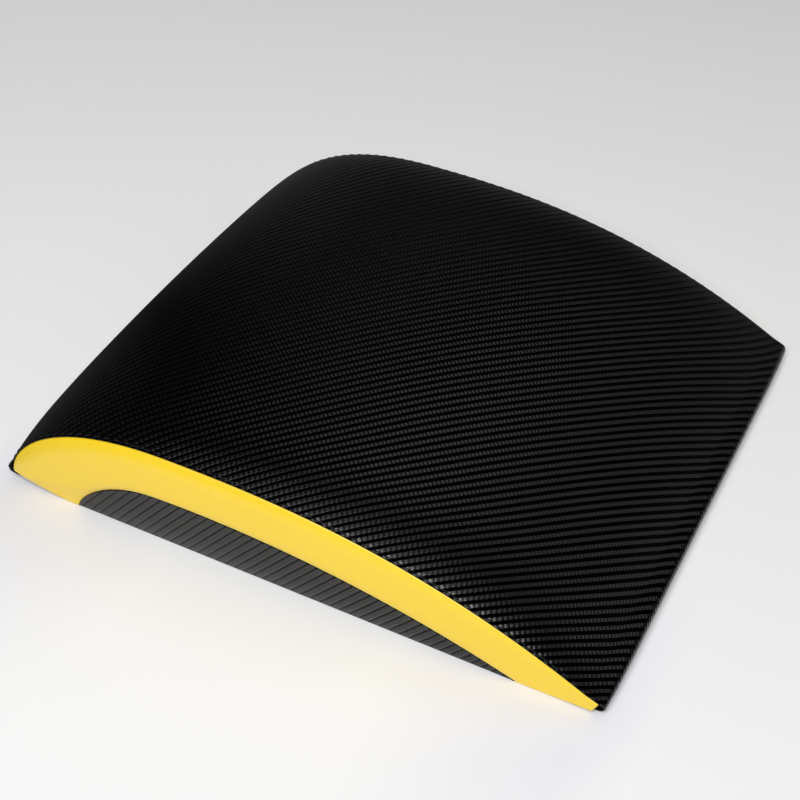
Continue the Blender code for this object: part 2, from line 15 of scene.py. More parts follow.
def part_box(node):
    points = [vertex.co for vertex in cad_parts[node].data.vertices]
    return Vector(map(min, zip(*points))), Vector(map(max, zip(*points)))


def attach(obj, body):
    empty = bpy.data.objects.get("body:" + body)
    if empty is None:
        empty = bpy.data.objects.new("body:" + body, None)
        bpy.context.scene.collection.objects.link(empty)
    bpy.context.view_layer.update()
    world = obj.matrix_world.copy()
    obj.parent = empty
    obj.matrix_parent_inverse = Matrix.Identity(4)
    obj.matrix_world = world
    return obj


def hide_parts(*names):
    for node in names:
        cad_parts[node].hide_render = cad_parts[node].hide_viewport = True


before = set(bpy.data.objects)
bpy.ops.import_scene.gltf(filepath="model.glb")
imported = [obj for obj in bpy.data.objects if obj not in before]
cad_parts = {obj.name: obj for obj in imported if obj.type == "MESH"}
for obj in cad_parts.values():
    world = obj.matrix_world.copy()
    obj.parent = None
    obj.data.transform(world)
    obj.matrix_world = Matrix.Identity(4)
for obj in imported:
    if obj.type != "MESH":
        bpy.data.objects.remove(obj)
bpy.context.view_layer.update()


# Camera, floor and light: the camera looks down over the near corner of the thin end. Pale paper lies on a
# dark table under a strong panel in front. Four weaker panels behind, above and beside are what the cover
# reflects, and three flags that only reflections see keep the pale paper out of its edges; they glow a dim
# grey, which paints the reflections on those edges.

CAMERA_PLACE = (0.29209, -0.58644, 0.60566)
CAMERA_AZIMUTH = math.radians(27.215)
CAMERA_ELEVATION = math.radians(42.232)
CAMERA_LENS = 67.958
CAMERA_SENSOR = 36

towards_camera = Vector((
    math.sin(CAMERA_AZIMUTH) * math.cos(CAMERA_ELEVATION),
    -math.cos(CAMERA_AZIMUTH) * math.cos(CAMERA_ELEVATION),
    math.sin(CAMERA_ELEVATION),
))
camera = bpy.data.objects.new("camera", bpy.data.cameras.new("camera"))
camera.data.lens = CAMERA_LENS
camera.data.sensor_width = CAMERA_SENSOR
camera.location = CAMERA_PLACE
camera.rotation_mode = "QUATERNION"
camera.rotation_quaternion = towards_camera.to_track_quat("Z", "Y")
bpy.context.scene.collection.objects.link(camera)
bpy.context.scene.camera = camera
bpy.context.scene.view_settings.view_transform = "Standard"

# The paper is one colour; its blend from near to far colour is painted falloff of the light, darker away from
# the front.
PAPER_NEAR = (0.93, 0.93, 0.935)
PAPER_FAR = (0.86, 0.86, 0.87)
PAPER_FALLOFF = (0.80, 0.90)
PAPER_FALLOFF_ENDS = (-0.32, 0.68)
# Painted shade: the paper beside the near wall is darker and bluer.
WALL_SHADE = (0.79, 0.80, 0.865)
WALL_Y = -0.16
WALL_REACH = 0.12
WALL_SHADE_ENDS = ((0.0700, 0.1367), (0.2033, 0.1700))
PAPER_RADIUS = 0.68
PAPER_FADE = 0.25
TABLE_COLOR = (0.012, 0.012, 0.012)
FLOOR_REACH = 6.0
FLOOR_DROP = 0.0002


class Finish:
    """The nodes of one material, written as sums over their sockets."""

    def __init__(self, name):
        self.material = bpy.data.materials.new(name)
        self.material.use_nodes = True
        self.tree = self.material.node_tree
        self.shader = self.tree.nodes["Principled BSDF"]

    def add(self, kind, **settings):
        node = self.tree.nodes.new(kind)
        for key, value in settings.items():
            setattr(node, key, value)
        return node

    def put(self, value, socket):
        """Links a socket to a socket, or sets it to a value; a colour of three gets its alpha."""
        if isinstance(value, bpy.types.NodeSocket):
            self.tree.links.new(value, socket)
        elif isinstance(value, tuple):
            socket.default_value = (*value, 1)
        else:
            socket.default_value = value

    def sum(self, operation, *values, clamp=False):
        node = self.add("ShaderNodeMath", operation=operation, use_clamp=clamp)
        for value, socket in zip(values, node.inputs):
            self.put(value, socket)
        return node.outputs[0]

    def ramp(self, value, start, end):
        """0 at start and before it, evenly up to 1 at end, and 1 past it; end may be the smaller."""
        return self.sum("MULTIPLY_ADD", value, 1 / (end - start), -start / (end - start), clamp=True)

    def split(self, vector):
        node = self.add("ShaderNodeSeparateXYZ")
        self.put(vector, node.inputs[0])
        return node.outputs

    def place(self):
        return self.add("ShaderNodeTexCoord").outputs["Object"]

    def blend(self, share, low, high):
        """A colour from low to high."""
        node = self.add("ShaderNodeMix", data_type="RGBA")
        self.put(share, node.inputs["Factor"])
        self.put(low, node.inputs[6])
        self.put(high, node.inputs[7])
        return node.outputs[2]

    def done(self, color, roughness, normal=None, **fixed):
        self.put(color, self.shader.inputs["Base Color"])
        self.put(roughness, self.shader.inputs["Roughness"])
        if normal is not None:
            self.put(normal, self.shader.inputs["Normal"])
        for name, value in fixed.items():
            self.put(value, self.shader.inputs[name.replace("_", " ")])
        return self.material


def staged(name, corners, faces, material):
    """A piece of the stage: flat faces that ride on no body."""
    mesh = bpy.data.meshes.new(name)
    mesh.from_pydata(corners, [], faces)
    mesh.materials.append(material)
    made = bpy.data.objects.new(name, mesh)
    bpy.context.scene.collection.objects.link(made)
    return made


paint = Finish("floor_paint")
x, y, _ = paint.split(paint.place())
# Painted falloff of the light: the paper is darker towards +Y and towards +X.
slant = paint.sum("MULTIPLY_ADD", y, PAPER_FALLOFF[1], paint.sum("MULTIPLY", x, PAPER_FALLOFF[0]))
paper = paint.blend(paint.ramp(slant, *PAPER_FALLOFF_ENDS), PAPER_NEAR, PAPER_FAR)
# Beside the near wall, at both ends of its insert, the paper is painted darker and bluer: painted shade,
# which also evens out the yellow light that the wall throws there.
beside = paint.ramp(paint.sum("ABSOLUTE", paint.sum("SUBTRACT", y, WALL_Y)), WALL_REACH, 0)
for start, end in WALL_SHADE_ENDS:
    beside = paint.sum("MULTIPLY", beside, paint.ramp(paint.sum("ABSOLUTE", x), start, end))
paper = paint.blend(beside, paper, WALL_SHADE)
radius = paint.sum("SQRT", paint.sum("ADD", paint.sum("MULTIPLY", x, x), paint.sum("MULTIPLY", y, y)))
beyond = paint.ramp(radius, PAPER_RADIUS, PAPER_RADIUS + PAPER_FADE)
floor_paint = paint.done(paint.blend(beyond, paper, TABLE_COLOR), 0.7, Specular_IOR_Level=0.2)
corners = [(x * FLOOR_REACH, y * FLOOR_REACH, -FLOOR_DROP) for x, y in ((-1, -1), (1, -1), (1, 1), (-1, 1))]
staged("floor", corners, [(0, 1, 2, 3)], floor_paint)

# Each panel faces the mat. Its row gives its place, the direction that its width is turned to as nearly as
# that allows, its width, its height and its power.
PANELS = {
    "front_panel": ((0.35, -1.50, 1.95), (1, 0, 0), 1.8, 1.4, 61),
    "back_panel": ((0.71, 1.15, 1.50), (0.87, 0.11, -0.43), 2.75, 0.95, 4.0),
    "top_panel_light": ((0.20, -0.20, 2.20), (1, 0, 0), 2.2, 1.0, 4.0),
    "left_panel": ((-0.22, 1.15, 1.85), (1, 0, 0), 1.5, 1.1, 2.0),
    "right_panel": ((1.62, 0.62, 0.94), (-0.36, 0.93, 0), 0.9, 0.7, 1.1),
}
ROOM_LIGHT = 0.035

for name, (place, width_along, width, height, power) in PANELS.items():
    lamp = bpy.data.lights.new(name, "AREA")
    lamp.shape = "RECTANGLE"
    lamp.size = width
    lamp.size_y = height
    lamp.energy = power
    panel = bpy.data.objects.new(name, lamp)
    panel.location = place
    back = Vector(place).normalized()
    up = back.cross(width_along).normalized()
    panel.rotation_euler = Matrix((up.cross(back), up, back)).transposed().to_euler()
    bpy.context.scene.collection.objects.link(panel)

room = bpy.data.worlds.new("room")
room.use_nodes = True
room.node_tree.nodes["Background"].inputs["Color"].default_value = (1, 1, 1, 1)
room.node_tree.nodes["Background"].inputs["Strength"].default_value = ROOM_LIGHT
bpy.context.scene.world = room

# Each flag stands upright between two points of the floor, given as x, y and its height there: one at the
# nose, one at the tail and one at the far side. They glow a dim grey, paler away from the middle line:
# painted reflections on the cover's edges.
FLAGS = (
    ((-0.195, -0.35, 0.20), (-0.195, 0.30, 0.20)),
    ((0.192, -0.35, 0.012), (0.192, 0.30, 0.012)),
    ((-0.19, 0.18, 0.14), (0.21, 0.18, 0.04)),
)
FLAG_GLOW = 0.025
FLAG_GLOW_PER_METRE = 0.425

paint = Finish("flag_reflection_glow")
from_middle = paint.sum("ABSOLUTE", paint.split(paint.place())[1])
glow = paint.sum("MULTIPLY_ADD", from_middle, FLAG_GLOW_PER_METRE, FLAG_GLOW, clamp=True)
# The flags glow: painted reflections on the cover's edges.
paint.put(glow, paint.shader.inputs["Emission Color"])
reflection_glow = paint.done((0.0, 0.0, 0.0), 1.0, Emission_Strength=1.0, Specular_IOR_Level=0.0)
corners = [corner for (x0, y0, high0), (x1, y1, high1) in FLAGS
           for corner in ((x0, y0, 0), (x1, y1, 0), (x1, y1, high1), (x0, y0, high0))]
flag = staged("reflection_only_flag", corners, [(0, 1, 2, 3), (4, 5, 6, 7), (8, 9, 10, 11)], reflection_glow)
flag.visible_camera = flag.visible_diffuse = flag.visible_shadow = False


# Foam core: the firm wedge of bonded foam chips that carries the back. It is cut from block, flat below,
# with a channel across its underside where the zip's slider runs.

ZIP_X = 0.075
SEAM_START_X = (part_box("zip_tape_front")[1][0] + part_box("zip_tape_rear")[0][0]) / 2 - ZIP_X
SEAM_LENGTH = 0.352
HALF_WIDTH = 0.1515
SEAM_HEIGHT = 0.0652
PEAK = 0.1176
NOSE_HEIGHT = 0.0077
NOSE_UNDERCUT = 0.040
NOSE_POWERS = (2.4, 0.625)
UNDER_NOSE_POWER = 1.5
BACK_POWER = 2.38
TAIL_HEIGHT = 0.0079
TAIL_BLEND = 0.006
TAIL_ROLL = 0.0038
TAIL_ROLL_START = math.radians(58)
TAIL_REACH = 0.0034
TAIL_LIFT = 0.0010
TAIL_UNDERCUT = 0.031
TAIL_DRAW = 0.0008
TAIL_DRAW_FROM = 0.71
TAIL_DRAW_POWER = 6
CROWN_BROAD = 0.0038
CROWN_EDGE = 0.0080
CROWN_EDGE_POWER = 9
NOSE_SHARES = np.array([[1.30], [0.05]])
TAIL_SHARES = np.array([[0.02], [0.39]])
CROWN_HOLD = np.array([[0.60], [0.85]])
EAR_REACH = 0.003
EAR_HEIGHT = 0.006
EAR_POWER = 40
COVER = 0.0012
FOAM_EASE = 0.0006
FOAM_STEP = 0.0035
COMFORT = 0.010
COMFORT_FILL = 1.6
CHANNEL_HALF = 0.0171
CHANNEL_TOP = 0.0125
CORE_TIP = 0.349
CORE_TIP_TOP = 0.0062
CORE_TIP_LOW = 0.0028
CHIP_COLORS = ((0.16, 0.17, 0.20), (0.46, 0.47, 0.49))
CHIPS_PER_METRE = 110
PORES_PER_METRE = 1400
PORE_DEPTH = 0.0006
CUT_EDGE = math.radians(35)


def past(x, start):
    """0 up to a share of the seam's length, and evenly up from there to 1 at its end."""
    return np.clip((x / SEAM_LENGTH - start) / (1 - start), 0, 1)


def side_outline(spacing, to_tail_roll=True):
    """Evenly spaced x, z, shares of the broad and the edge crown, and arc length along the side seam.

    Under the nose x^1.5; up it the superellipse 1 - (1 - x)^2.4, to the power 0.625; down the back
    1 - x^2.38; then a circle round the tail and a straight line back under it.
    """
    out = np.linspace(0, 1, 60)
    stretches = [(NOSE_UNDERCUT * (1 - out), NOSE_HEIGHT * out**UNDER_NOSE_POWER, *NOSE_SHARES * out**3)]
    x = PEAK * (1 - np.cos(out[1:] * math.pi / 2))
    rise = (1 - (1 - x / PEAK) ** NOSE_POWERS[0]) ** NOSE_POWERS[1]
    shares = NOSE_SHARES + (1 - NOSE_SHARES) * rise
    stretches.append((x, NOSE_HEIGHT + (SEAM_HEIGHT - NOSE_HEIGHT) * rise, *shares))
    x = np.linspace(PEAK, SEAM_LENGTH - TAIL_BLEND, 90)[1:]
    fall = ((x - PEAK) / (SEAM_LENGTH - PEAK)) ** BACK_POWER
    shares = 1 - (1 - TAIL_SHARES) * past(x, CROWN_HOLD) ** [[1], [2]]
    stretches.append((x, SEAM_HEIGHT - (SEAM_HEIGHT - TAIL_HEIGHT) * fall, *shares))
    if to_tail_roll:
        turn = np.linspace(TAIL_ROLL_START, -math.pi / 2, 40)
        stretches.append((
            SEAM_LENGTH + TAIL_REACH - TAIL_ROLL + TAIL_ROLL * np.cos(turn),
            TAIL_LIFT + TAIL_ROLL * (1 + np.sin(turn)),
            *TAIL_SHARES * np.linspace(1, 0, 40),
        ))
        stretches.append(([SEAM_LENGTH - TAIL_UNDERCUT], [0], [0], [0]))
    points = np.hstack(stretches).T
    arc = np.append(0, np.cumsum(np.hypot(*np.diff(points[:, :2], axis=0).T)))
    even = np.linspace(0, arc[-1], round(arc[-1] / spacing) + 1)
    return np.stack([np.interp(even, arc, column) for column in (*points.T, arc)], axis=1)


def normals_of(line):
    """Unit normals of a side-view line that runs with its outside on the left."""
    along = np.gradient(line[:, :2], axis=0)
    along /= np.linalg.norm(along, axis=1)[:, None]
    return np.stack([-along[:, 1], along[:, 0]], axis=1)


def cushion(line, y, depth=0.0):
    """Grid of points a depth under the mat's crowned surface, one row for each y.

    With v = |y| / half width, the surface stands share x 3.8 mm (1 - v^2) + share x 8 mm (1 - v^9) off the
    side outline, and v^40 of an ear's reach at the nose's corners. The tail's edge is drawn in by 1 - v^6.
    """
    x, z, broad, edge = line[:, :4].T
    v = np.clip(abs(y) / HALF_WIDTH, 0, 1)[:, None]
    ear = np.exp(-(((z - NOSE_HEIGHT) / EAR_HEIGHT) ** 2)) * np.clip(z / NOSE_HEIGHT, 0, 1)
    ear = ear * (x < NOSE_UNDERCUT)
    crown = broad * CROWN_BROAD * (1 - v**2) + edge * CROWN_EDGE * (1 - v**CROWN_EDGE_POWER)
    lift = crown + EAR_REACH * ear * v**EAR_POWER - depth
    drawn = TAIL_DRAW * (1 - v**TAIL_DRAW_POWER) * past(x, TAIL_DRAW_FROM) ** 2
    normal = normals_of(line)
    return np.stack(np.broadcast_arrays(
        SEAM_START_X + x + normal[:, 0] * lift - drawn, y[:, None], z + normal[:, 1] * lift), axis=2)


def grid_mesh(name, points, cloth=None, ring=False, flip=False):
    """A mesh over rows of points; ring joins each row's ends and caps the first and last rows.

    cloth holds each point's place along and across its cloth, in metres, for the UV map of that name.
    """
    rows, columns = points.shape[:2]
    index = np.arange(rows * columns).reshape(rows, columns)
    if ring:
        index = np.hstack([index, index[:, :1]])
    faces = np.stack([index[:-1, :-1], index[:-1, 1:], index[1:, 1:], index[1:, :-1]], axis=2).reshape(-1, 4)
    if flip:
        faces = faces[:, ::-1]
    caps = [index[0, -2::-1].tolist(), index[-1, :-1].tolist()] if ring else []
    mesh = bpy.data.meshes.new(name)
    mesh.from_pydata(points.reshape(-1, 3).tolist(), [], faces.tolist() + caps)
    if cloth is not None:
        places = mesh.uv_layers.new(name="cloth")
        places.data.foreach_set("uv", cloth.reshape(-1, 2)[faces.ravel()].ravel())
    mesh.shade_smooth()
    return mesh


def add_piece(name, mesh, material, slot, *stands_for, body="mat"):
    """A new piece of the mat that rides on a body and stands for CAD nodes."""
    mesh.materials.append(material)
    piece = bpy.data.objects.new(name, mesh)
    bpy.context.scene.collection.objects.link(piece)
    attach(piece, body)
    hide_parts(*stands_for)
    return piece


def noise(finish, scale, detail=2.0):
    node = finish.add("ShaderNodeTexNoise")
    finish.put(finish.place(), node.inputs["Vector"])
    finish.put(scale, node.inputs["Scale"])
    finish.put(detail, node.inputs["Detail"])
    return node.outputs["Fac"]


def relief(finish, height, distance, under=None):
    """Normals of a surface whose height of 1 stands that distance proud."""
    node = finish.add("ShaderNodeBump")
    finish.put(height, node.inputs["Height"])
    finish.put(distance, node.inputs["Distance"])
    if under is not None:
        finish.put(under, node.inputs["Normal"])
    return node.outputs["Normal"]


paint = Finish("bonded_foam_chips")
chips = paint.add("ShaderNodeTexVoronoi")
paint.put(CHIPS_PER_METRE, chips.inputs["Scale"])
paint.put(paint.place(), chips.inputs["Vector"])
chip_color = paint.blend(paint.split(chips.outputs["Color"])[0], *CHIP_COLORS)
pores = relief(paint, noise(paint, PORES_PER_METRE), PORE_DEPTH)
bonded_foam = paint.done(chip_color, 0.95, pores, Specular_IOR_Level=0.2)

line = side_outline(FOAM_STEP, to_tail_roll=False)
comfort = COMFORT * np.clip(COMFORT_FILL * (line[:, 1] - NOSE_HEIGHT) / SEAM_HEIGHT, 0, 1)
y = (HALF_WIDTH - COVER - FOAM_EASE) * np.sin(np.linspace(-math.pi / 2, math.pi / 2, 41))
top = cushion(line, y, COVER + 2 * FOAM_EASE + comfort)
foot = COVER + FOAM_EASE
below = np.array([
    (CORE_TIP, CORE_TIP_TOP),
    (CORE_TIP, CORE_TIP_LOW),
    (SEAM_LENGTH - TAIL_UNDERCUT, foot),
    (ZIP_X + CHANNEL_HALF, foot),
    (ZIP_X + CHANNEL_HALF, CHANNEL_TOP),
    (ZIP_X - CHANNEL_HALF, CHANNEL_TOP),
    (ZIP_X - CHANNEL_HALF, foot),
    (NOSE_UNDERCUT, foot),
])
bottom = np.stack(np.broadcast_arrays(below[:, 0] + SEAM_START_X, y[:, None], below[:, 1]), axis=2)
core_mesh = grid_mesh("core_block", np.hstack([top, bottom]), ring=True)
core_mesh.set_sharp_from_angle(angle=CUT_EDGE)
add_piece("core_block", core_mesh, bonded_foam, "firm_foam", "foam_core")


# Comfort layer: a sheet of softer open-cell foam, glued over the core from the nose to the tail and
# feathered out towards both ends. It gives the mat its crown.

FOAM_COLORS = ((0.62, 0.61, 0.56), (0.86, 0.86, 0.82))
CELLS_PER_METRE = 1900
CELL_DEPTH = 0.0005
FEATHER = 0.001

paint = Finish("open_cell_foam")
cells = noise(paint, CELLS_PER_METRE, 4)
# Painted shade: the foam is darker where its cells sink in.
foam_color = paint.blend(cells, *FOAM_COLORS)
open_foam = paint.done(foam_color, 0.95, relief(paint, cells, CELL_DEPTH), Specular_IOR_Level=0.2)

wrapped = comfort > FEATHER
outer = cushion(line, y, COVER + FOAM_EASE)[:, wrapped]
inner = cushion(line, y, COVER + FOAM_EASE + comfort)[:, wrapped]
layer_mesh = grid_mesh("comfort_sheet", np.hstack([outer, inner[:, ::-1]]), ring=True)
layer_mesh.set_sharp_from_angle(angle=CUT_EDGE)
add_piece("comfort_sheet", layer_mesh, open_foam, "soft_foam", "comfort_layer")


# Base panels: two pieces of coated polyester that close the cover underneath. They fold up into a shallow
# valley on both sides of the zip, so that the mat lies flat and the zip stays off the floor.

ZIP_HALF = 0.110
ZIP_STOP = 0.0027
VALLEY_DEPTH = 0.0065
VALLEY_SLOPE = 0.0085
VALLEY_LIP = 0.003
VALLEY_END = 0.002
VALLEY_FADE = 0.014
SLOT_WIDTH = 0.010
SLOT_FADE = 0.006
CLEARANCE = 0.0003
SEAM_GAP = 0.0006
BASE_COLORS = ((0.006, 0.006, 0.006), (0.022, 0.022, 0.022))
BASE_YARN = 0.0006
BASE_RELIEF = 0.0002
WEAR_PER_METRE = 60


def eased(share):
    """0 below 0, 1 above 1, and 3 s^2 - 2 s^3 between."""
    share = np.clip(share, 0, 1)
    return share * share * (3 - 2 * share)


def base_panel(outer_edge, way):
    """Grid from the slot to the outer edge; it lies on the floor but for an eased slope up to the slot."""
    edge = HALF_WIDTH - COVER - CLEARANCE
    y = np.linspace(-edge, edge, 181)
    open_share = eased((ZIP_HALF + ZIP_STOP + SLOT_FADE - abs(y)) / SLOT_FADE)
    start = ZIP_X + way * (CLEARANCE + (SLOT_WIDTH - CLEARANCE) * open_share) / 2
    reach = abs(outer_edge - start)[:, None]
    near = np.linspace(0, VALLEY_LIP + VALLEY_SLOPE, 17)
    far = near[-1] + (reach - near[-1]) * np.linspace(0.05, 1, 24)
    away = np.hstack([np.broadcast_to(near, (len(y), len(near))), far])
    rise = eased((edge - VALLEY_END - abs(y)) / VALLEY_FADE)[:, None]
    height = VALLEY_DEPTH * rise * eased(1 - (away - VALLEY_LIP) / VALLEY_SLOPE)
    x = SEAM_START_X + start[:, None] + way * away
    return np.stack(np.broadcast_arrays(x, y[:, None], height), axis=2)


def thicken(piece, thickness):
    """Gives a cloth its thickness, inwards from its outer face."""
    wall = piece.modifiers.new("thickness", "SOLIDIFY")
    wall.thickness = thickness
    wall.offset = -1


def cloth_place(finish):
    """Places along and across the cloth, in metres."""
    return finish.add("ShaderNodeUVMap", uv_map="cloth").outputs["UV"]


def plain_weave(name, colors, yarn, depth, roughness):
    """Warp over weft by turns: sin(along) sin(across) of the yarns, whose sign picks the yarn on top."""
    finish = Finish(name)
    u, v, _ = finish.split(cloth_place(finish))
    along = finish.sum("SINE", finish.sum("MULTIPLY", u, math.pi / yarn))
    across = finish.sum("SINE", finish.sum("MULTIPLY", v, math.pi / yarn))
    weave = finish.sum("MULTIPLY_ADD", finish.sum("MULTIPLY", along, across), 0.5, 0.5)
    # The colour mixes random wear with painted shade: darker where the weave lies lower.
    wear_and_weave_shade = noise(finish, WEAR_PER_METRE, 4)
    wear_and_weave_shade = finish.sum("MULTIPLY_ADD", wear_and_weave_shade, 0.5, finish.sum("MULTIPLY", weave, 0.5))
    color = finish.blend(wear_and_weave_shade, *colors)
    return finish.done(color, roughness, relief(finish, weave, depth), Specular_IOR_Level=0.3)


base_cloth = plain_weave("coated_polyester", BASE_COLORS, BASE_YARN, BASE_RELIEF, 0.75)
for name, outer_edge, way, node in (
    ("base_cloth_front", NOSE_UNDERCUT + SEAM_GAP, -1, "base_panel_front"),
    ("base_cloth_rear", SEAM_LENGTH - TAIL_UNDERCUT - SEAM_GAP, 1, "base_panel_rear"),
):
    panel = base_panel(outer_edge, way)
    mesh = grid_mesh(name, panel, cloth=panel[:, :, :2], flip=way > 0)
    thicken(add_piece(name, mesh, base_cloth, "base_cloth", node), COVER)


# Zip: a nylon coil zip whose tapes are sewn behind the edges of the base panels, so that only the slider,
# its pull and the chain between the panels show from below.

TAPE_LOW = 0.0080
TAPE_THICKNESS = 0.0006
TAPE_EDGE = 0.0007
TAPE_WIDTH = 0.013
TAPE_HALF = 0.121
TAPE_COLORS = ((0.010, 0.010, 0.011), (0.040, 0.040, 0.042))
TAPE_YARN = 0.00035
TAPE_RELIEF = 0.0001
COIL_MIDDLE = (0.00185, 0.0097)
COIL_HALF_WIDTH = 0.00135
COIL_HALF_HEIGHT = 0.0008
COIL_PITCH = 0.0013
COIL_GAP = 0.0006
FILAMENT = 0.00028
NYLON_COLOR = (0.016, 0.016, 0.017)
RUBBED_PER_METRE = 300
ALLOY_COLORS = ((0.10, 0.10, 0.105), (0.22, 0.22, 0.225))
SCUFFS_PER_METRE = 450
SCUFF_DEPTH = 0.00003
SLIDER_EDGE = 0.0003
FITTING_EDGE = 0.0004
SAME_POINT = 0.000005


def zip_tape(way):
    """A flat woven strip beside the zip's middle line."""
    x = SEAM_START_X + ZIP_X + way * (TAPE_EDGE + np.linspace(0, TAPE_WIDTH, 27))
    y = np.linspace(-TAPE_HALF, TAPE_HALF, 122)
    return np.stack(np.broadcast_arrays(x, y[:, None], TAPE_LOW), axis=2)


def coil_row(way):
    """A tube along an elliptic helix: x = a cos t, z = b sin t, and y grows one pitch a turn."""
    end = ZIP_HALF - ZIP_STOP - COIL_GAP
    turns = int(2 * end / COIL_PITCH)
    t = np.linspace(0, 2 * math.pi * turns, turns * 12 + 1)
    center = np.stack([
        SEAM_START_X + ZIP_X + way * (COIL_MIDDLE[0] - (COIL_HALF_WIDTH - FILAMENT) * np.cos(t)),
        -end + COIL_PITCH * t / (2 * math.pi),
        COIL_MIDDLE[1] + (COIL_HALF_HEIGHT - FILAMENT) * np.sin(t),
    ], axis=1)
    along = np.gradient(center, axis=0)
    along /= np.linalg.norm(along, axis=1)[:, None]
    out = np.cross(along, (0.0, 1.0, 0.0))
    out /= np.linalg.norm(out, axis=1)[:, None]
    up = np.cross(along, out)
    turn = np.linspace(0, 2 * math.pi, 6, endpoint=False)[:, None]
    return center[:, None] + FILAMENT * (np.cos(turn) * out[:, None] + np.sin(turn) * up[:, None])


tape_weave = plain_weave("tape_weave", TAPE_COLORS, TAPE_YARN, TAPE_RELIEF, 0.8)
paint = Finish("nylon_filament")
nylon = paint.done(NYLON_COLOR, paint.sum("MULTIPLY_ADD", noise(paint, RUBBED_PER_METRE), 0.2, 0.25))
paint = Finish("dark_alloy")
scuffs = noise(paint, SCUFFS_PER_METRE, 6)
alloy = paint.done(
    paint.blend(scuffs, *ALLOY_COLORS), paint.sum("MULTIPLY_ADD", scuffs, 0.25, 0.25),
    relief(paint, scuffs, SCUFF_DEPTH), Metallic=1.0,
)

for row, way in (("front", -1), ("rear", 1)):
    tape = zip_tape(way)
    mesh = grid_mesh(f"tape_{row}", tape, cloth=tape[:, :, :2], flip=way > 0)
    thicken(add_piece(f"tape_{row}", mesh, tape_weave, "zip_tape", f"zip_tape_{row}"), TAPE_THICKNESS)
    coil_mesh = grid_mesh(f"coil_{row}", coil_row(way), ring=True, flip=way > 0)
    add_piece(f"coil_{row}", coil_mesh, nylon, "zip_coil", f"zip_coil_{row}")


def cast_copy(name, node, edge, body):
    """A metal fitting: the CAD node's own shape with its edges rounded off, as a casting's are."""
    mesh = bpy.data.objects[node].data.copy()
    mesh.name = name
    shape = bmesh.new()
    shape.from_mesh(mesh)
    bmesh.ops.remove_doubles(shape, verts=shape.verts, dist=SAME_POINT)
    bmesh.ops.dissolve_limit(shape, angle_limit=math.radians(1), verts=shape.verts, edges=shape.edges)
    shape.to_mesh(mesh)
    shape.free()
    mesh.materials.clear()
    fitting = add_piece(name, mesh, alloy, "zip_metal", node, body=body)
    rounded = fitting.modifiers.new("rounded", "BEVEL")
    rounded.width = edge
    rounded.segments = 3
    rounded.limit_method = "ANGLE"
    rounded.angle_limit = math.radians(20)
    rounded.harden_normals = True
    mesh.shade_smooth()


cast_copy("slider_casting", "zip_slider", SLIDER_EDGE, "slider")
cast_copy("pull_tab", "zip_pull", FITTING_EDGE, "pull")
for stop in ("top_stop_front", "top_stop_rear", "bottom_stop"):
    cast_copy(stop, f"zip_{stop}", FITTING_EDGE, "mat")


# Zip stitching: a row of lockstitch in dark polyester thread beside each edge of the slot, through the base
# panel and the tape behind it.

THREAD_RADIUS = 0.00032
THREAD_COLORS = ((0.003, 0.003, 0.003), (0.010, 0.010, 0.010))
PLY_PITCH = 0.0016
PLY_RELIEF = 0.00012
ZIP_STITCH_IN = 0.0015
ZIP_STITCH_PITCH = 0.0042
ZIP_STITCH_LENGTH = 0.0032


def stitch_row(name, line, outward, pitch, length, slant, *nodes):
    """Separate stitches along a line on the cloth.

    Each is a tube whose middle line stands 2.1 sqrt(cos a) - 1.1 of its radius proud, where a runs from -90
    to 90 degrees along the stitch, so its ends go down into their holes. slant turns each stitch in the
    cloth's plane.
    """
    arc = np.append(0, np.cumsum(np.linalg.norm(np.diff(line, axis=0), axis=1)))
    count = int((arc[-1] - length) / pitch)
    first = (arc[-1] - count * pitch) / 2 + pitch / 2
    share = np.linspace(-1, 1, 11)
    places = first + np.arange(count)[:, None] * pitch + share * length / 2
    center = np.stack([np.interp(places, arc, column) for column in line.T], axis=2)
    up = np.stack([np.interp(places, arc, column) for column in outward.T], axis=2)
    along = center[:, -1:] - center[:, :1]
    along /= np.linalg.norm(along, axis=2)[:, :, None]
    side = np.cross(up, along)
    height = THREAD_RADIUS * (2.1 * np.cos(share * math.pi / 2) ** 0.5 - 1.1)
    aside = math.tan(slant) * share * length / 2
    center = center + up * height[:, None] + side * aside[:, None]
    turn = np.linspace(0, 2 * math.pi, 8, endpoint=False)
    ring = np.cos(turn)[:, None] * side[:, :, None] + np.sin(turn)[:, None] * up[:, :, None]
    points = center[:, :, None] + THREAD_RADIUS * ring
    index = np.arange(points[..., 0].size).reshape(points.shape[:3])
    index = np.concatenate([index, index[:, :, :1]], axis=2)
    faces = np.stack([index[:, :-1, :-1], index[:, :-1, 1:], index[:, 1:, 1:], index[:, 1:, :-1]], axis=3)
    caps = np.concatenate([index[:, 0, -2::-1], index[:, -1, :-1]]).tolist()
    mesh = bpy.data.meshes.new(name)
    mesh.from_pydata(points.reshape(-1, 3).tolist(), [], faces.reshape(-1, 4).tolist() + caps)
    mesh.shade_smooth()
    add_piece(name, mesh, thread, "thread", *nodes)


paint = Finish("twisted_thread")
x, y, z = paint.split(paint.place())
ply = paint.sum("MULTIPLY", paint.sum("ADD", x, paint.sum("ADD", y, z)), 2 * math.pi / PLY_PITCH)
ply = paint.sum("MULTIPLY_ADD", paint.sum("SINE", ply), 0.5, 0.5)
# Painted shade: the thread is darker in the grooves between its plies.
thread_color = paint.blend(ply, *THREAD_COLORS)
thread = paint.done(thread_color, 0.6, relief(paint, ply, PLY_RELIEF), Specular_IOR_Level=0.3)

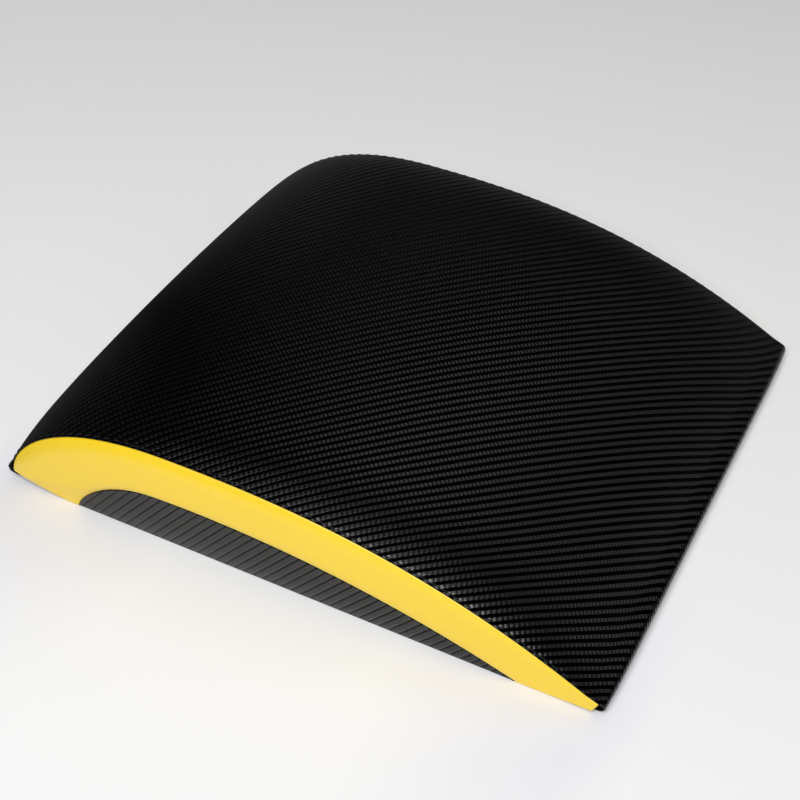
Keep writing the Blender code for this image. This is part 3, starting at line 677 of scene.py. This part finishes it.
for row, way in (("front", -1), ("rear", 1)):
    x = SEAM_START_X + ZIP_X + way * (SLOT_WIDTH / 2 + ZIP_STITCH_IN)
    line = np.stack(np.broadcast_arrays(x, np.linspace(-ZIP_HALF, ZIP_HALF, 60), VALLEY_DEPTH), axis=1)
    down = np.broadcast_to((0.0, 0.0, -1.0), line.shape)
    stitch_row(f"zip_seam_{row}", line, down, ZIP_STITCH_PITCH, ZIP_STITCH_LENGTH, 0, f"zip_stitch_{row}")


# Side inserts: a lens of the same black twill-embossed vinyl as the top panel, let into the lower edge of
# each yellow band and turned in at the seam.

INSERT_HEIGHT = 0.0345
INSERT_START = 0.0444
INSERT_PEAK = 0.107
INSERT_END = 0.3093
INSERT_POWERS = (2.07, 0.756)
INSERT_BACK_POWER = 2.25
INSERT_GAP = 0.0008
SIDE_BULGE = 0.0015
VINYL = 0.0005
SEAM_ROLL = 0.0004
EDGE_ROWS = 0.0015 * np.array([0, 0.02, 0.06, 0.13, 0.25, 0.45, 0.75, 1])
LEAST_WIDTH = 0.00001
TWILL_CELL = 0.00155
TWILL_TURN = math.radians(-4.3)
# Painted shade: the twill's colour runs from the first to the second as its relief rises.
TWILL_SHADE_COLORS = ((0.0003, 0.0003, 0.0003), (0.0014, 0.0014, 0.0014))
TWILL_DEPTH = 0.0003
RIB_FLAT = 0.45
GROOVE_EDGE = 0.14
BEAD_GAP = (0.19, 0.69)
GAPS_FADE = (0.30, 0.44)
GAPS_LOST = 0.75
GRAIN_PER_METRE = 2600
GRAIN_DEPTH = 0.00003


def insert_outline(count):
    """The insert's seam: 1 - x^2.07, to the power 0.756, up to its peak, and 1 - x^2.25 down to the floor."""
    turn = np.linspace(0, math.pi / 2, count)
    before = INSERT_PEAK - (INSERT_PEAK - INSERT_START) * np.cos(turn)
    rise = (1 - np.cos(turn) ** INSERT_POWERS[0]) ** INSERT_POWERS[1]
    along = np.linspace(0, 1, 2 * count)[1:]
    x = np.append(before, INSERT_PEAK + (INSERT_END - INSERT_PEAK) * along)
    return np.stack([x, INSERT_HEIGHT * np.append(rise, 1 - along**INSERT_BACK_POWER)], axis=1)


def turned_in(distance):
    """How far a cloth rolls in at a seam, by its distance from the seam: a quarter circle."""
    return SEAM_ROLL * (1 - np.sqrt(1 - (1 - np.clip(distance / SEAM_ROLL, 0, 1)) ** 2))


def side_wall(name, lower, upper, bulge, side, material, slot, node):
    """Cloth ruled between two side-view edges, bulged outwards and turned in along both of them.

    Its rows are fine near the edges, where it turns in, and even between them.
    """
    width = np.maximum(np.linalg.norm(upper - lower, axis=1), LEAST_WIDTH)
    near = np.minimum(EDGE_ROWS[:, None] / width, 0.45)
    middle = np.broadcast_to(np.linspace(0, 1, 15)[1:-1, None], (13, len(width)))
    share = np.sort(np.vstack([near, middle, 1 - near]), axis=0)
    points = lower + (upper - lower) * share[:, :, None]
    y = side * (HALF_WIDTH + bulge(share) - turned_in(share * width) - turned_in((1 - share) * width))
    grid = np.stack([points[:, :, 0] + SEAM_START_X, y, points[:, :, 1]], axis=2)
    cloth = np.stack([-side * points[:, :, 0], points[:, :, 1]], axis=2)
    piece = add_piece(name, grid_mesh(name, grid, cloth=cloth, flip=side > 0), material, slot, node)
    thicken(piece, VINYL)


def twill_vinyl(name, bead, groove, gaps, shine):
    """Vinyl embossed as a twill: ribs run diagonally, four yarns apart, with a groove between them.

    With t from -1 to 1 across a rib, it is flat for |t| < 0.45 and falls evenly from there into the groove.
    Each yarn that the rib crosses makes a bead on it: with s from -1 to 1 along the bead, it falls by bead
    times s^2. The colour is darker where the relief is lower, as painted shade. No light gets down into the
    groove, nor, by the share gaps, in between the beads, so there the vinyl is set as a black metal, which
    mirrors nothing: painted shade too. Towards the tail the gaps lose most of that.
    """
    finish = Finish(name)
    turn = finish.add("ShaderNodeVectorRotate", rotation_type="Z_AXIS")
    finish.put(cloth_place(finish), turn.inputs["Vector"])
    finish.put(TWILL_TURN, turn.inputs["Angle"])
    u, v, _ = finish.split(turn.outputs[0])
    p = finish.sum("DIVIDE", u, TWILL_CELL)
    q = finish.sum("DIVIDE", v, TWILL_CELL)
    across = finish.sum("FRACT", finish.sum("MULTIPLY", finish.sum("SUBTRACT", p, q), 0.25))
    across = finish.sum("ABSOLUTE", finish.sum("MULTIPLY_ADD", across, 2.0, -1.0))
    along = finish.sum("FRACT", finish.sum("MULTIPLY", finish.sum("ADD", p, q), 0.5))
    along = finish.sum("MULTIPLY_ADD", along, 2.0, -1.0)
    along = finish.sum("MULTIPLY", along, along)
    fallen = finish.sum("MULTIPLY_ADD", along, bead, finish.ramp(across, RIB_FLAT, 1))
    height = finish.sum("SUBTRACT", 1.0, fallen)
    grain = noise(finish, GRAIN_PER_METRE, 1)
    normal = relief(finish, height, TWILL_DEPTH, relief(finish, grain, GRAIN_DEPTH))
    lost = finish.ramp(finish.split(cloth_place(finish))[0], *GAPS_FADE)
    shown = finish.sum("MULTIPLY_ADD", lost, -GAPS_LOST, 1.0)
    gap = finish.sum("MULTIPLY", finish.sum("MULTIPLY", finish.ramp(along, *BEAD_GAP), shown), gaps)
    unlit = finish.sum("MAXIMUM", finish.ramp(across, groove, groove + GROOVE_EDGE), gap)
    finish.put(unlit, finish.shader.inputs["Metallic"])
    # Painted shade: the colour is darker where the relief is lower.
    color = finish.blend(finish.sum("MULTIPLY", height, 1.0, clamp=True), *TWILL_SHADE_COLORS)
    gloss = finish.sum("MULTIPLY_ADD", grain, 0.06, 0.22)
    return finish.done(color, gloss, normal, Specular_IOR_Level=shine)


side_twill = twill_vinyl("side_twill_vinyl", bead=0.15, groove=0.72, gaps=0.0, shine=0.42)

seam = insert_outline(70)
seam_bulge = SIDE_BULGE * seam[:, 1] / INSERT_HEIGHT
insert_top = seam * (1, 1 - INSERT_GAP / INSERT_HEIGHT)
for name, side in (("right", -1), ("left", 1)):
    side_wall(f"twill_insert_{name}", seam * (1, 0), insert_top,
              lambda share: seam_bulge * (1 - (1 - share) ** 4), side,
              side_twill, "black_twill_vinyl", f"side_insert_{name}")


# Side bands: smooth yellow vinyl crescents that follow the mat's side outline. Each is sewn round the insert
# and under the edge of the top panel, and the foam behind puffs it a little.

BAND_PUFF = 0.0028
BAND_SETBACK = 0.0011
BAND_SETBACK_ENDS = (0.036, 0.042)
BAND_SPLIT = 0.318
BAND_STEP = 0.001
YELLOWS = ((0.93, 0.63, 0.006), (0.97, 0.68, 0.010))
CLOUDS_PER_METRE = 9
PEBBLES_PER_METRE = 1500
PEBBLE_DEPTH = 0.00004

paint = Finish("yellow_vinyl")
pebbles = noise(paint, PEBBLES_PER_METRE, 3)
yellow_vinyl = paint.done(
    paint.blend(noise(paint, CLOUDS_PER_METRE), *YELLOWS), paint.sum("MULTIPLY_ADD", pebbles, 0.12, 0.34),
    relief(paint, pebbles, PEBBLE_DEPTH), Specular_IOR_Level=0.95,
)


def along_line(line, share):
    """Points at shares of a polyline's length."""
    arc = np.append(0, np.cumsum(np.linalg.norm(np.diff(line, axis=0), axis=1)))
    return np.stack([np.interp(share * arc[-1], arc, column) for column in line.T], axis=1)


outline = side_outline(BAND_STEP, to_tail_roll=False)
setback = BAND_SETBACK * np.interp(outline[:, 4:], BAND_SETBACK_ENDS, (0, 1))
followed = outline[:, :2] - normals_of(outline) * setback
outer = np.vstack([(NOSE_UNDERCUT + SEAM_GAP, 0), followed[1:], (SEAM_LENGTH, TAIL_HEIGHT)])
# The upper edge runs beside the insert as far as the split, and from there on beside the line on the floor.
split = np.argmax((outer[:, 0] > BAND_SPLIT) & (np.arange(len(outer)) >= len(outer) // 2))
tip_z = TAIL_LIFT * (CORE_TIP - SEAM_LENGTH + TAIL_UNDERCUT) / (TAIL_UNDERCUT + TAIL_REACH - TAIL_ROLL)
tail_floor = np.array([(INSERT_END, 0), (SEAM_LENGTH - TAIL_UNDERCUT - SEAM_GAP, 0), (CORE_TIP, tip_z)])
round_insert, past_insert = np.linspace(0, 1, 260), np.linspace(0, 1, 60)[1:]
insert_edge = along_line(insert_outline(120), round_insert)
band_lower = np.vstack([insert_edge, along_line(tail_floor, past_insert)])
band_upper = np.vstack([along_line(outer[: split + 1], round_insert), along_line(outer[split:], past_insert)])
lift = SIDE_BULGE * np.append(insert_edge[:, 1] / INSERT_HEIGHT, 0 * past_insert)
puff = np.linalg.norm(band_upper - band_lower, axis=1)
puff = BAND_PUFF * puff / puff.max()
for name, side in (("right", -1), ("left", 1)):
    side_wall(f"yellow_band_{name}", band_lower, band_upper,
              lambda share: lift * (1 - share**4) + puff * (1 - (2 * share - 1) ** 6), side,
              yellow_vinyl, "yellow_vinyl", f"side_band_{name}")


# Top panel: one piece of twill-embossed vinyl that runs from under the nose, over the foam, round the thin
# end and back under it. Its long edges are turned in over the side bands, and sewing draws the cloth along
# the seams, which turns the ribs beside them.

TOP_STEP = 0.0014
TOP_ROLL = 0.0005
SEAM_ZONES = (0.0042, 0.0050, 0.0300)
TUCK = 0.0016
STITCH_IN = 0.0013
STITCH_DENT = 0.0001
STITCH_DENT_REACH = 0.0007
DRAWN_FROM = 0.07
CLOTH_DRAWN = 0.012

black_twill = twill_vinyl("black_twill_vinyl", bead=0.40, groove=0.42, gaps=0.8, shine=0.5)

outline = side_outline(TOP_STEP)
near_seam = np.append(np.linspace(TOP_ROLL, SEAM_ZONES[0], 12), np.geomspace(*SEAM_ZONES[1:], 13))
inside = HALF_WIDTH - near_seam
turn = np.radians(np.linspace(150, 15, 9))
half = np.append(HALF_WIDTH - TOP_ROLL + TOP_ROLL * np.sin(turn), inside)
dent = STITCH_DENT * np.exp(-(((near_seam - STITCH_IN) / STITCH_DENT_REACH) ** 2))
drop = np.append(TOP_ROLL * (1 - np.cos(turn)), dent)
middle = np.linspace(-inside[-1], inside[-1], 72)[1:-1]
across = np.concatenate([-half, middle, half[::-1]])
down = np.concatenate([drop, 0 * middle, drop[::-1]])
top_grid = cushion(outline, across, down[:, None])
# Under the nose and the tail the long edges are tucked in behind the bands.
top_grid[:, :, 1] *= 1 - TUCK / HALF_WIDTH * np.sqrt(np.clip(1 - outline[:, 1] / NOSE_HEIGHT, 0, 1))
drawn = CLOTH_DRAWN * np.clip((abs(across) - DRAWN_FROM) / (HALF_WIDTH - DRAWN_FROM), 0, 1)[:, None] ** 3
cloth = np.stack(np.broadcast_arrays(outline[:, 4] + drawn, across[:, None]), axis=2)
top_cover = add_piece("top_cover", grid_mesh("top_cover", top_grid, cloth=cloth), black_twill,
                      "black_twill_vinyl", "top_panel")
thicken(top_cover, VINYL)


# Topstitching: heavy dark polyester thread through the top panel and the turned edges under it, a stitch
# every 6.4 mm beside each side seam.

STITCH_PITCH = 0.0064
STITCH_LENGTH = 0.0040
STITCH_SLANT = math.radians(8)
STITCH_FROM = 0.004
STITCH_SUNK = 0.0003
STITCH_SPAN = 0.0004

stitched = outline[(outline[:, 1] > NOSE_HEIGHT + STITCH_FROM) & (outline[:, 0] < SEAM_LENGTH)]
stitched = stitched[: np.argmax(stitched[:, 0]) + 1]
for name, side in (("right", -1), ("left", 1)):
    y = side * (HALF_WIDTH - STITCH_IN + STITCH_SPAN * np.array([-1, 0, 1]))
    inner, line, edge = cushion(stitched, y, STITCH_SUNK)
    outward = np.cross(np.gradient(line, axis=0), side * (edge - inner))
    outward /= np.linalg.norm(outward, axis=1)[:, None]
    stitch_row(f"topstitching_{name}", line, outward, STITCH_PITCH, STITCH_LENGTH, side * -STITCH_SLANT,
               f"topstitch_{name}")
